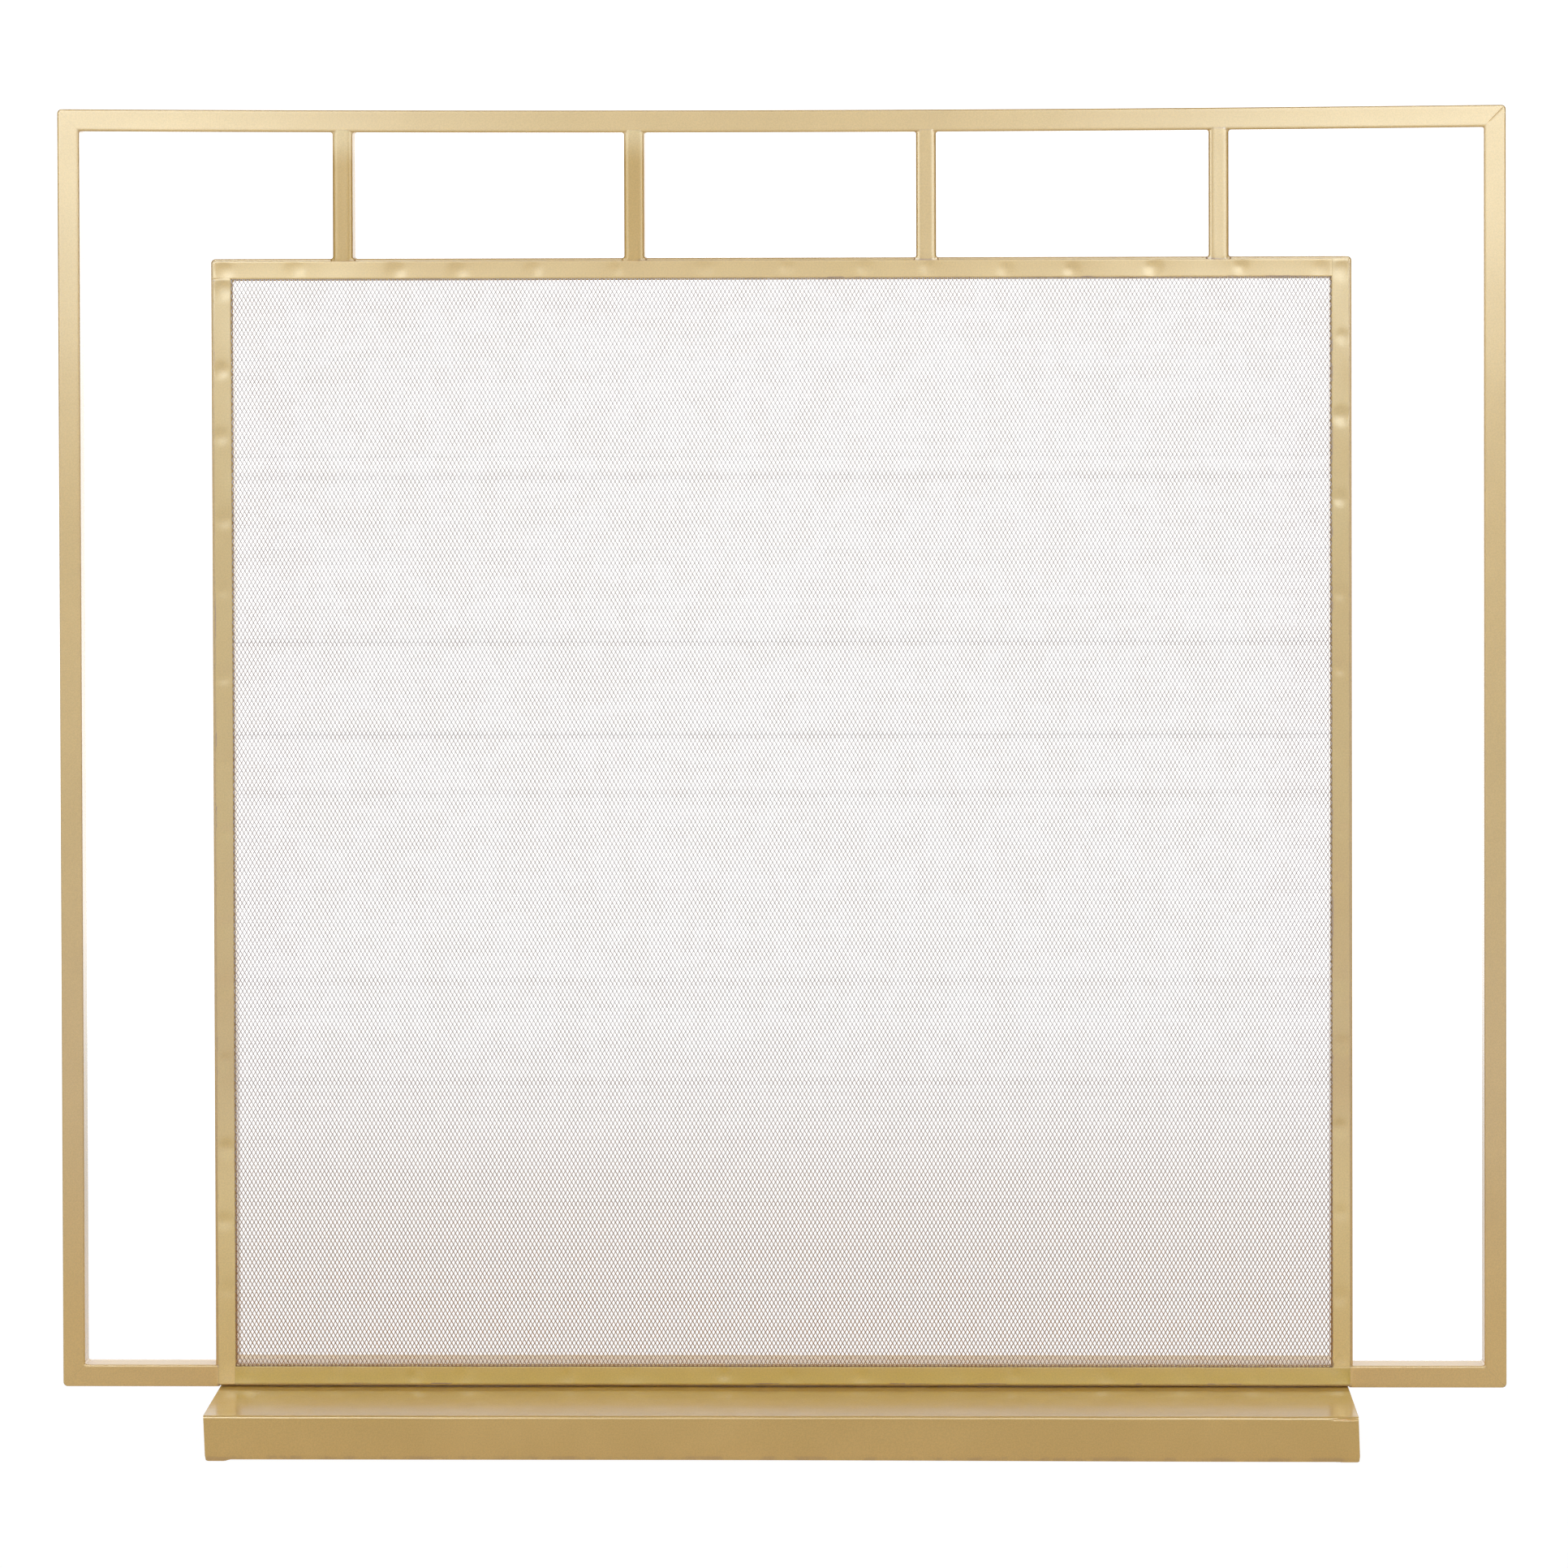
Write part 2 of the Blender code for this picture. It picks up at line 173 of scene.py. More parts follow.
def outward(mesh):
    """Turn a closed mesh's faces outward if they face in."""
    co = np.empty(len(mesh.vertices) * 3)
    mesh.vertices.foreach_get("co", co)
    co = co.reshape(-1, 3) - co.reshape(-1, 3).mean(0)
    mesh.calc_loop_triangles()
    tri = np.empty(len(mesh.loop_triangles) * 3, np.int32)
    mesh.loop_triangles.foreach_get("vertices", tri)
    a, b, c = (co[tri.reshape(-1, 3)[:, k]] for k in range(3))
    if np.einsum("ij,ij->i", a, np.cross(b, c)).sum() < 0:
        mesh.flip_normals()
    return mesh


def section(width, depth, radius, flat_steps=(6, 6), corner_steps=6):
    """Ring of (across, depth) points round a rounded rectangle; across runs from 0 to width."""
    half = np.array((width, depth)) / 2 - radius
    corners = ((1, 1), (-1, 1), (-1, -1), (1, -1))
    points = []
    for number, corner in enumerate(corners):
        centre = half * corner
        for step in range(corner_steps + 1):
            angle = math.pi / 2 * (number + step / corner_steps)
            points.append(centre + radius * np.array((math.cos(angle), math.sin(angle))))
        steps = flat_steps[number % 2]
        angle = math.pi / 2 * (number + 1)
        target = half * corners[(number + 1) % 4] + radius * np.array((math.cos(angle), math.sin(angle)))
        for step in range(1, steps):
            points.append(points[-1] + (target - points[-1]) / (steps - step + 1))
    return np.array(points) + (width / 2, 0)


def smooth(value):
    """Smooth step from 0 to 1 as value goes from 0 to 1."""
    value = np.clip(value, 0, 1)
    return value * value * (3 - 2 * value)


def waves(place, seed, lengths, size):
    """A sum of sine waves along a line, between -size and size."""
    random = np.random.default_rng(seed)
    total = np.zeros_like(place)
    for length in lengths:
        phase, weight = random.uniform(0, 2 * math.pi), random.uniform(0.5, 1)
        total = total + weight * np.sin(2 * math.pi * place / length + phase)
    return size * total / len(lengths)


# ---------------------------------------------------------------- tubes
MITRE_STATIONS = np.array([0, 0.2, 0.5, 0.9, 1.4, 1.9, 2.5, 3.2, 4.2, 6, 9, 13, 18, 24, 30]) * MM
BUTT_STATIONS = np.array([0, 1.9, 1.95, 2.05, 2.2, 2.4, 2.65, 2.95, 3.3, 3.7, 4.4, 6, 9, 14, 21, 30]) * MM


def end_stations(kind, face):
    """(distance of the inner side from the end, shear across the tube) at each station."""
    if kind == "mitre":
        shear = 1 - MITRE_STATIONS / MITRE_REACH
        return face + MITRE_STATIONS, shear
    return BUTT_STATIONS, np.zeros_like(BUTT_STATIONS)


FAR = 9.0  # metres, stands for the end that is not near
ROUND_GAP = 0.293  # distance from a corner to the arc that rounds it, for a radius of 1


def tube_points(
    low, high, face, depth, ends, seed, fillet=0.0, flare=0.0, seam=0.0, scar=0.0, droop=RIM_DROOP, rim=RIM_SHARE
):
    """Rings of (along, across, depth) points. Across runs from the outer side, 0, to the inner one.

    fillet swells mitred ends, flare widens butt ends, seam grooves both ends' lines, and scar
    grooves the far end's front.
    """
    ring = section(face, depth, TUBE_RADIUS, flat_steps=(10, 10))
    first_at, first_shear = end_stations(ends[0], face)
    last_at, last_shear = end_stations(ends[1], face)
    inner_low, inner_high = low + first_at[-1], high - last_at[-1]
    count = max(2, round((inner_high - inner_low) / STEP))
    middle = np.linspace(inner_low, inner_high, count + 1)[1:-1]
    base = np.concatenate([low + first_at, middle, (high - last_at)[::-1]])
    zero = np.zeros_like(middle)
    shear = np.concatenate([-first_shear, zero, last_shear[::-1]])
    # distance from each end's own plane
    from_low = np.concatenate([first_at - first_at[0], middle - low, np.full(len(last_at), FAR)])
    from_high = np.concatenate([np.full(len(first_at), FAR), high - middle, (last_at - last_at[0])[::-1]])
    across = np.repeat(ring[None, :, 0], len(base), 0)
    deep = np.repeat(ring[None, :, 1], len(base), 0)
    for distance, kind in ((from_low, ends[0]), (from_high, ends[1])):
        if kind == "mitre" and fillet:
            swell = ROUND_GAP * fillet * np.clip(1 - distance / fillet, 0, 1) ** 2
            inner = np.clip(2 * across / face - 1, 0, 1)
            across = across + swell[:, None] * inner
        if kind == "butt" and not flare:
            sink = STUB_DIVE * np.clip(1 - distance / STUB_DIVE_LENGTH, 0, 1) ** 2
            deep = deep - np.sign(deep) * sink[:, None]
        if kind == "butt" and flare:
            near = np.clip(1 - (distance - WELD_OVERLAP) / flare, 0, 1)
            swell = flare * (1 - np.sqrt(1 - near**2))
            across = face / 2 + (across - face / 2) * (1 + swell / (face / 2))[:, None]
        if seam:
            groove = seam * np.clip(1 - distance / (0.5 * MM), 0, 1)
            deep = deep - np.sign(deep) * groove[:, None] * (np.abs(deep) > depth * 0.45)
    if scar:
        groove = scar * np.clip(1 - from_high / SCAR_WIDTH, 0, 1)
        outer_half = (across < 0.7 * face) & (across > 0.15 * face) & (deep < -depth * 0.45)
        deep = deep + groove[:, None] * outer_half
    fade = smooth(np.minimum(from_low, from_high) / (25 * MM))
    spread = base[:, None] + 0 * across
    hollow = 1 - (2 * across / face - 1) ** 2
    for side, offset in ((-1, 0), (1, 500)):
        there = (np.sign(deep) == side) & (np.abs(deep) > depth / 2 - TUBE_RADIUS)
        wave = waves(spread, seed + offset, (0.37, 0.21, 0.13, 0.083), 0.5)
        sink = TUBE_SINK * fade[:, None] * (0.5 + wave + 0.4 * hollow)
        sink = sink + droop * np.clip(1 - rim * hollow, 0, 1) ** 1.5
        deep = np.where(there, deep - side * sink, deep)
    along = base[:, None] + shear[:, None] * (face - across)
    return along, across, deep


def soften_corner(points, corner_x, corner_z, radius):
    """Round a square outer corner by mapping nested squares about its centre onto circles."""
    side_x, side_z = math.copysign(1, corner_x), (1 if corner_z > 0.5 else -1)
    dx = side_x * (points[..., 0] - corner_x) + radius
    dz = side_z * (points[..., 2] - corner_z) + radius
    inside = (dx > 0) & (dz > 0)
    scale = np.maximum(dx, dz) / np.maximum(np.hypot(dx, dz), 1e-9)
    points[..., 0] = np.where(inside, corner_x + side_x * (dx * scale - radius), points[..., 0])
    points[..., 2] = np.where(inside, corner_z + side_z * (dz * scale - radius), points[..., 2])
    return points


def rail_drop(x):
    """How far the top rail hangs below its ends."""
    return RAIL_BOW * (1 - (np.asarray(x) / EDGE_X) ** 2)


def place_tube(along, across, deep, axis, outer, inward, middle_y):
    """World points of a tube along X (0) or Z (2), whose outer side is at a given coordinate."""
    points = np.empty(along.shape + (3,))
    points[..., axis] = along
    points[..., 2 - axis] = outer + inward * across
    points[..., 1] = middle_y + deep
    return points


def outer_frame(paint):
    """Top rail, two posts and two stubs, mitred, welded and ground."""
    depth = BACK_Y - FRONT_Y
    corners = [(sx * EDGE_X, z) for sx in (-1, 1) for z in (BOTTOM_Z, TOP_Z)]
    both = ("mitre", "mitre")
    specs = (
        # node, axis, low and high end, outer side, way to its inner side, ends, seed
        ("outer_top_rail", 0, -EDGE_X, EDGE_X, TOP_Z, -1, both, 11),
        ("outer_left_post", 2, BOTTOM_Z, TOP_Z, -EDGE_X, 1, both, 23),
        ("outer_right_post", 2, BOTTOM_Z, TOP_Z, EDGE_X, -1, both, 35),
        ("outer_bottom_rail_left", 0, -EDGE_X, STRIP_LEFT_X + STUB_WELD, BOTTOM_Z, 1, ("mitre", "butt"), 47),
        ("outer_bottom_rail_right", 0, STRIP_RIGHT_X - STUB_WELD, EDGE_X, BOTTOM_Z, 1, ("butt", "mitre"), 59),
    )
    for name, axis, low, high, outer, inward, ends, seed in specs:
        fillet = INNER_FILLET["stub" if "butt" in ends else "outer"]
        scar = SCAR_DEPTH * (name in ("outer_top_rail", "outer_right_post"))
        rings = tube_points(low, high, FACE, depth, ends, seed, fillet=fillet, seam=FRAME_SEAM, scar=scar)
        points = place_tube(*rings, axis, outer, inward, 0.0)
        for corner_x, corner_z in corners:
            points = soften_corner(points, corner_x, corner_z, CORNER_RADIUS)
        if name == "outer_top_rail":
            points[..., 2] -= rail_drop(points[..., 0])
        add_piece(name + "_finish", swept(name, points), paint, "brass_paint", name)


def top_struts(paint, thin_paint):
    """Four short uprights, each flared a little by its dressed welds."""
    depth = BACK_Y - FRONT_Y
    for number in range(1, 5):
        node = f"top_strut_{number}"
        low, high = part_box(node)
        face = high.x - low.x
        middle = (low.x + high.x) / 2
        top = TOP_Z - FACE - rail_drop(middle) + WELD_OVERLAP
        bottom = PANEL_HIGH_Z - WELD_OVERLAP
        ends = ("butt", "butt")
        rings = tube_points(
            bottom, top, face, depth, ends, 70 + number, flare=STRUT_FLARE, droop=STRUT_DROOP, rim=STRUT_RIM_SHARE
        )
        points = place_tube(*rings, 2, low.x, 1, 0.0)
        coat = thin_paint if number < 3 else paint
        add_piece(node + "_finish", swept(node, points), coat, "brass_paint", node)


def panel_tubes(paint, bottom_paint):
    """The mitred tube frame behind the mesh."""
    both = ("mitre", "mitre")
    specs = (
        # node, axis, low and high end, outer side, way to its inner side, seed
        ("panel_top_rail", 0, -PANEL_X, PANEL_X, PANEL_HIGH_Z, -1, 81),
        ("panel_bottom_rail", 0, -PANEL_X, PANEL_X, PANEL_LOW_Z, 1, 83),
        ("panel_left_stile", 2, PANEL_LOW_Z, PANEL_HIGH_Z, -PANEL_X, 1, 85),
        ("panel_right_stile", 2, PANEL_LOW_Z, PANEL_HIGH_Z, PANEL_X, -1, 87),
    )
    for node, axis, low, high, outer, inward, seed in specs:
        box_low, box_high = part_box(node)
        depth = box_high.y - box_low.y
        rings = tube_points(
            low, high, FACE, depth, both, seed, fillet=INNER_FILLET["panel"], seam=PANEL_SEAM
        )
        points = place_tube(*rings, axis, outer, inward, (box_low.y + box_high.y) / 2)
        for corner_x in (-PANEL_X, PANEL_X):
            points = soften_corner(points, corner_x, PANEL_HIGH_Z, CORNER_RADIUS)
        coat = bottom_paint if node == "panel_bottom_rail" else paint
        add_piece(node + "_finish", swept(node, points), coat, "brass_paint", node)


# ---------------------------------------------------------------- clamp strips
STRIP_RIPPLE = 0.18 * MM  # hammered waves along the strips
STRIP_ROCK = 0.17 * MM  # and how far their two sides rock about them
STRIP_HOLLOW = 0.04 * MM
STRIP_END_FALL = 0.06 * MM
STRIP_EDGE_WAVE = 0.10 * MM
DENT_MARGIN = 8 * MM  # from a strip's ends to its first and last dent
DENT_WANDER = 12 * MM  # how far the others stray along the strip
DENT_STRAY = 1.5 * MM  # and across it
DENT_REACH = (4.2 * MM, 6.2 * MM)
DENT_DEPTH = (0.16 * MM, 0.42 * MM)


def spot_dents(along, across, width, seed, spacing):
    """Depth of the round spot-weld dents along a strip."""
    random = np.random.default_rng(seed)
    low, high = along.min() + DENT_MARGIN, along.max() - DENT_MARGIN
    count = max(2, round((high - low) / spacing))
    depth = np.zeros_like(along)
    for number, place in enumerate(np.linspace(low, high, count)):
        place = place + random.uniform(-DENT_WANDER, DENT_WANDER) * (0 < number < count - 1)
        middle = width / 2 + random.uniform(-DENT_STRAY, DENT_STRAY)
        reach = random.uniform(*DENT_REACH)
        deep = random.uniform(*DENT_DEPTH)
        radius = np.hypot(along - place, across - middle) / reach
        depth += deep * np.exp(-(radius**3))
    return depth


STRIPS = (
    # node, seed, which end butts against the next strip
    ("clamp_strip_top", 101, "high"),
    ("clamp_strip_right", 115, "low"),
    ("clamp_strip_bottom", 129, "low"),
    ("clamp_strip_left", 143, "high"),
)


def clamp_strips(level_paint, side_paint):
    """Four thin flat strips, wavy from hammering and dented where they are spot-welded."""
    for node, seed, butt in STRIPS:
        low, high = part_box(node)
        axis = 0 if high.x - low.x > high.z - low.z else 2
        start = low[axis] + (-SEAM_CLOSE if butt == "low" else STRIP_INSET)
        end = high[axis] - (-SEAM_CLOSE if butt == "high" else STRIP_INSET)
        if node in ("clamp_strip_top", "clamp_strip_right"):
            high[2 - axis] -= STRIP_INSET
        else:
            low[2 - axis] += STRIP_INSET
        width = high[2 - axis] - low[2 - axis]
        thickness = high.y - low.y
        ring = section(width, thickness, STRIP_EDGE, flat_steps=(12, 2), corner_steps=3)
        inner = np.linspace(start, end, round((end - start) / STRIP_STEP) + 1)[1:-1]
        rounding = np.array((0, 0.1, 0.35)) * MM
        base = np.concatenate([start + rounding, inner, end - rounding[::-1]])
        along = np.repeat(base[:, None], len(ring), 1)
        across = np.repeat(ring[None, :, 0], len(base), 0)
        deep = np.repeat(ring[None, :, 1], len(base), 0)
        crown = 2 * across / width - 1
        ripple = waves(along, seed, (0.052, 0.071, 0.112, 0.19), 0.5) + 0.5
        twist = 1 + waves(along, seed + 3, (0.057, 0.083, 0.15, 0.33), 1.0) * crown
        sink = STRIP_RIPPLE * ripple + STRIP_ROCK * twist + STRIP_HOLLOW * (1 - crown**2)
        sink = sink + spot_dents(along, across, width, seed, DENT_SPACING)
        from_end = np.minimum(along - start, end - along)
        end_fall = STRIP_END_FALL * (1 - smooth(from_end / rounding[-1]))
        deep = np.where(deep < 0, deep + sink + end_fall, deep)
        edge_wave = waves(along, seed + 7, (0.055, 0.09, 0.21), STRIP_EDGE_WAVE)
        across = across + np.where(np.abs(crown) > 0.9, edge_wave - STRIP_EDGE_WAVE * np.sign(crown), 0)
        points = place_tube(along, across, deep, axis, low[2 - axis], 1, (low.y + high.y) / 2)
        for corner_x in (STRIP_LEFT_X + STRIP_INSET, STRIP_RIGHT_X - STRIP_INSET):
            points = soften_corner(points, corner_x, STRIP_HIGH_Z - STRIP_INSET, STRIP_CORNER)
        paint = side_paint if axis == 2 else level_paint
        add_piece(node + "_finish", swept(node, points), paint, "brass_paint", node)


# ---------------------------------------------------------------- expanded mesh
HALF_PITCH_X = 1.528 * MM
HALF_PITCH_Z = 2.705 * MM
BOND_HALF_WIDTH = 0.34 * MM
BOND_HALF_HEIGHT = 0.60 * MM
STRAND_TWIST = 0.09 * MM
MESH_TRIM = 1.6 * MM  # how far the sheared edge stays inside the strips' outer edges
BAND_COUNT = 12
MESH_SHARE = 0.5  # of the CAD sheet's thickness, before the strands' twist
ROW_STRETCH = 0.03  # spread of the bonds' size from row to row
ROW_SLIP = 0.02 * MM  # spread of the rows' place
BOND_JITTER = 0.010 * MM
BUCKLE = 0.12 * MM
STRETCHED_ROWS = (
    # share of the sheet's height, and how much longer the bonds are there
    (0.272, 0.10), (0.527, 0.14), (0.581, 0.20), (0.664, 0.17), (0.812, 0.20), (0.36, 0.10),
)


def lattice_offsets():
    """Front corners of a bond: top, right, bottom and left, as (x, y, z)."""
    w, h, t = BOND_HALF_WIDTH, BOND_HALF_HEIGHT, STRAND_TWIST
    return np.array(((0, 0, h), (w, t, 0), (0, 0, -h), (-w, -t, 0)))


def mesh_bands(paint):
    """The expanded mesh in horizontal bands that meet at rows of bonds."""
    width, height = MESH_HIGH.x - MESH_LOW.x, MESH_HIGH.z - MESH_LOW.z
    columns = int((width - 2 * (BOND_HALF_WIDTH + MESH_TRIM)) / HALF_PITCH_X)
    rows = int((height - 2 * (BOND_HALF_HEIGHT + MESH_TRIM)) / HALF_PITCH_Z)
    x0 = (MESH_LOW.x + MESH_HIGH.x - columns * HALF_PITCH_X) / 2
    z0 = MESH_LOW.z + BOND_HALF_HEIGHT + MESH_TRIM
    random = np.random.default_rng(7)
    row_stretch = 1 + ROW_STRETCH * random.standard_normal(rows + 1)
    for share, extra in STRETCHED_ROWS:
        line = round(share * rows)
        row_stretch[line:line + 2] += extra
    row_slip = ROW_SLIP * random.standard_normal(rows + 1)
    jitter = BOND_JITTER * random.standard_normal((columns + 1, rows + 1, 4, 2))
    thickness = (MESH_HIGH.y - MESH_LOW.y) * MESH_SHARE
    i_all, j_all = np.meshgrid(np.arange(columns + 1), np.arange(rows + 1), indexing="ij")
    centre_x = x0 + i_all * HALF_PITCH_X + row_slip[j_all]
    centre_z = z0 + j_all * HALF_PITCH_Z
    offsets = lattice_offsets()
    front = np.empty((columns + 1, rows + 1, 4, 3))
    stretch = row_stretch[j_all][..., None]
    front[..., 0] = centre_x[..., None] + offsets[:, 0] * stretch + jitter[..., 0]
    front[..., 2] = centre_z[..., None] + offsets[:, 2] * stretch + jitter[..., 1]
    buckle = BUCKLE * (np.sin(centre_x * 9.0 + 0.6) * np.sin(centre_z * 7.0 + 1.1) + 1)
    front[..., 1] = MESH_LOW.y + STRAND_TWIST + buckle[..., None] + offsets[:, 1]
    back = front.copy()
    back[..., 1] += thickness
    exists = (i_all + j_all) % 2 == 0
    cuts = np.linspace(0, rows, BAND_COUNT + 1).round().astype(int)
    for band in range(BAND_COUNT):
        low_row, high_row = cuts[band], cuts[band + 1]
        last = band == BAND_COUNT - 1
        mesh = band_mesh(front, back, exists, low_row, high_row, last, columns, rows)
        add_piece(f"mesh_band_{band + 1:02d}", mesh, paint, "mesh_paint", "mesh_panel", sharp=0)


def band_mesh(front, back, exists, low_row, high_row, last, columns, rows):
    """Bonds of rows low_row to high_row, less the last row unless it is the sheet's, and their strands."""
    top_row = high_row if last else high_row - 1
    use = slice(low_row, high_row + 1)
    span = high_row + 1 - low_row
    points = np.concatenate([front[:, use].reshape(-1, 3), back[:, use].reshape(-1, 3)])
    back_start = (columns + 1) * span * 4
    quads = []

    def corner(i, j, k):
        return (i * span + (j - low_row)) * 4 + k

    i, j = np.nonzero(exists)
    keep = (j >= low_row) & (j <= top_row)
    i, j = i[keep], j[keep]
    top, right, bottom, left = (corner(i, j, k) for k in range(4))
    quads.append(np.stack([top, left, bottom, right], -1))
    quads.append(np.stack([top, right, bottom, left], -1) + back_start)
    # strands up to the right and up to the left, or a cap where there is none
    for step, near, far_low, far_high in ((1, (0, 1), 3, 2), (-1, (3, 0), 2, 1)):
        is_there = (i + step >= 0) & (i + step <= columns) & (j + 1 <= rows)
        a, b = corner(i, j, near[0]), corner(i, j, near[1])
        far_a, far_b = corner(i + step, j + 1, far_low), corner(i + step, j + 1, far_high)
        quads += strand(a, b, is_there, far_a, far_b, back_start)
        quads.append(cap(a[~is_there], b[~is_there], back_start))
    # caps below, where no strand comes up from the row beneath
    for step, ends in ((1, (1, 2)), (-1, (2, 3))):
        is_there = (i + step >= 0) & (i + step <= columns) & (j - 1 >= 0)
        if low_row:
            is_there &= j != low_row
        a, b = corner(i, j, ends[0]), corner(i, j, ends[1])
        quads.append(cap(a[~is_there], b[~is_there], back_start))
    if not last:
        quads += far_caps(exists, corner, columns, high_row, back_start)
    quads = np.concatenate([q.reshape(-1, 4) for q in quads])
    used, index = np.unique(quads, return_inverse=True)
    return fast_quad_mesh("band", tapered(points[used]), index.reshape(-1, 4))


def strand(a, b, is_there, far_a, far_b, back_start):
    """Front, back and both sides of each strand from edge a-b to edge far_a-far_b."""
    a, b, c, d = (values[is_there] for values in (a, b, far_b, far_a))
    shift = back_start
    return [
        np.stack([a, b, c, d], -1),
        np.stack([b, a, d, c], -1) + shift,
        np.stack([a, d, d + shift, a + shift], -1),
        np.stack([c, b, b + shift, c + shift], -1),
    ]


def cap(a, b, back_start):
    """End faces across the sheet's thickness."""
    return np.stack([b, a, a + back_start, b + back_start], -1)


def far_caps(exists, corner, columns, row, back_start):
    """Caps on the upper ends of a band's last strands, against the next band's bonds."""
    i = np.nonzero(exists[:, row])[0]
    right, bottom, left = (corner(i, row, k) for k in (1, 2, 3))
    from_right = i < columns
    from_left = i > 0
    return [
        cap(bottom[from_right], right[from_right], back_start),
        cap(left[from_left], bottom[from_left], back_start),
    ]


# ---------------------------------------------------------------- base
SHEET = 1.5 * MM
BEND_RADIUS = 2.2 * MM
FLANGE_LEAN = 1.2 * MM
FOOT_REACH = 19 * MM  # length of flange, at each end, that comes down over the foot
BASE_STATIONS = (0, 0.15, 0.5, 1.2, 2.2, 3.4, 4.6, 6, 7.5, 9, 10.5, 12, 13.5, 15, 16.5, 18.5, 22, 27, 33)
BASE_CORNER = 2.2 * MM
SHEET_SAG = 0.25 * MM  # deepest hollow in the base's top
BEND_WAVE = 0.06 * MM
FLANGE_BOW = 0.12 * MM
PINCH_DEPTH = 1.1 * MM
PINCH_DROP = 2.2 * MM  # from the base's top down to the pinch
EDGE_GAP = 0.1 * MM  # how far the flange stays off the floor where it dips over the feet
DIP_SHARE = 0.75  # the share of that dip which the front edge has at its right, between the feet
END_GROW = 0.35 * MM  # how far the end plates' welds reach towards the folded sheet
END_RAISE = 1.6 * MM  # how far the plates stop above the CAD's lower edge
END_BACK = 0.12 * MM
FOOT_INSET = 1.6 * MM


def base_profile(inset):
    """Points (y, z) over the folded sheet, inset from its outside, from front edge to back edge."""
    half = BASE_HIGH.y - inset
    top = BASE_HIGH.z - inset
    radius = BEND_RADIUS - inset
    low = BASE_LOW.z
    split = top - radius - 1.8 * MM
    flange = np.concatenate([np.linspace(low, split, 9)[:-1], np.linspace(split, top - radius, 7)])
    front = [(-half, z) for z in flange]
    bend = [math.pi / 2 * step / 7 for step in range(1, 8)]
    front += [(-half + radius - radius * math.cos(a), top - radius + radius * math.sin(a)) for a in bend]
    middle = [(y, top) for y in np.linspace(-half + radius, half - radius, 49)[1:-1]]
    back = [(-y, z) for y, z in front[::-1]]
    return np.array(front + middle + back)


def base_relief(x, y, z):
    """Dents and hollows of the folded sheet, as a shift of each point in y and z."""
    inward = smooth((z - (BASE_HIGH.z - 4 * MM)) / (3 * MM))
    from_end = smooth((BASE_HIGH.x - np.abs(x)) / (60 * MM))
    sag = 0.5 + 0.25 * np.sin(x * 17 + 0.4) * np.cos(y * 23 + 0.2) + 0.25 * np.sin(x * 31 + y * 19 + 2.0)
    edge = smooth((BASE_HIGH.y - np.abs(y)) / (30 * MM))
    dz = -SHEET_SAG * sag * from_end * edge * inward
    dz = dz - BEND_WAVE * (1 + np.sin(x * 52 + 1.3)) * inward * (1 - edge)
    bow = FLANGE_BOW * (1 + np.sin(x * 13 + 0.5)) * smooth((BASE_HIGH.z - z) / (6 * MM))
    dy = np.where(y < 0, bow, -bow)
    return dy, dz


def corner_pinch(x, y, z):
    """The small open fold where the sheet's front bend meets the right end."""
    reach = np.clip(1 - ((x - (BASE_HIGH.x - 9 * MM)) / (8.5 * MM)) ** 2, 0, 1)
    near = np.exp(-(((z - (BASE_HIGH.z - PINCH_DROP)) / (0.5 * MM)) ** 4))
    return PINCH_DEPTH * reach**0.5 * near * (y < 0)


def base_body(paint):
    """The folded sheet with its ends, bends, hollows and the lean of its ends."""
    outer, inner = base_profile(0.0), base_profile(SHEET)
    count = len(outer)
    profile = np.concatenate([outer, inner[::-1]])
    near_end = np.array(BASE_STATIONS) * MM
    length = BASE_HIGH.x
    middle = np.linspace(-length + near_end[-1], length - near_end[-1], 92)[1:-1]
    stations = np.concatenate([-length + near_end, middle, (length - near_end)[::-1]])
    x = np.repeat(stations[:, None], len(profile), 1)
    y = np.repeat(profile[None, :, 0], len(stations), 0)
    z = np.repeat(profile[None, :, 1], len(stations), 0)
    dy, dz = base_relief(x, y, z)
    outside = np.arange(len(profile))[None, :] < count
    dy = dy + np.where(outside, corner_pinch(x, y, z), 0)
    lean = FLANGE_LEAN * (BASE_HIGH.z - z) / BASE_HIGH.z
    over_foot = smooth((np.abs(x) - (length - FOOT_REACH)) / (6 * MM))
    sloping = DIP_SHARE * smooth((x + 0.10) / 0.50) * (y < 0)
    dz = dz - (BASE_LOW.z - EDGE_GAP) * np.maximum(over_foot, sloping) * smooth(1 - z / (9 * MM))
    points = np.stack([x + lean, y + dy, z + dz], -1)
    for corner_x in (-length, length):
        points = soften_corner(points, corner_x + FLANGE_LEAN, 0.0, BASE_CORNER)
    rings = len(stations)
    quads = ring_faces(rings, len(profile))
    caps = []
    for start, turn in ((0, 1), ((rings - 1) * len(profile), -1)):
        for index in range(count - 1):
            face = [start + index, start + index + 1]
            face += [start + len(profile) - 2 - index, start + len(profile) - 1 - index]
            caps.append(face[::turn])
    mesh = outward(quad_mesh("base", points.reshape(-1, 3), quads, caps))
    add_piece("base_channel_finish", mesh, paint, "base_paint", "base_channel", sharp=40)


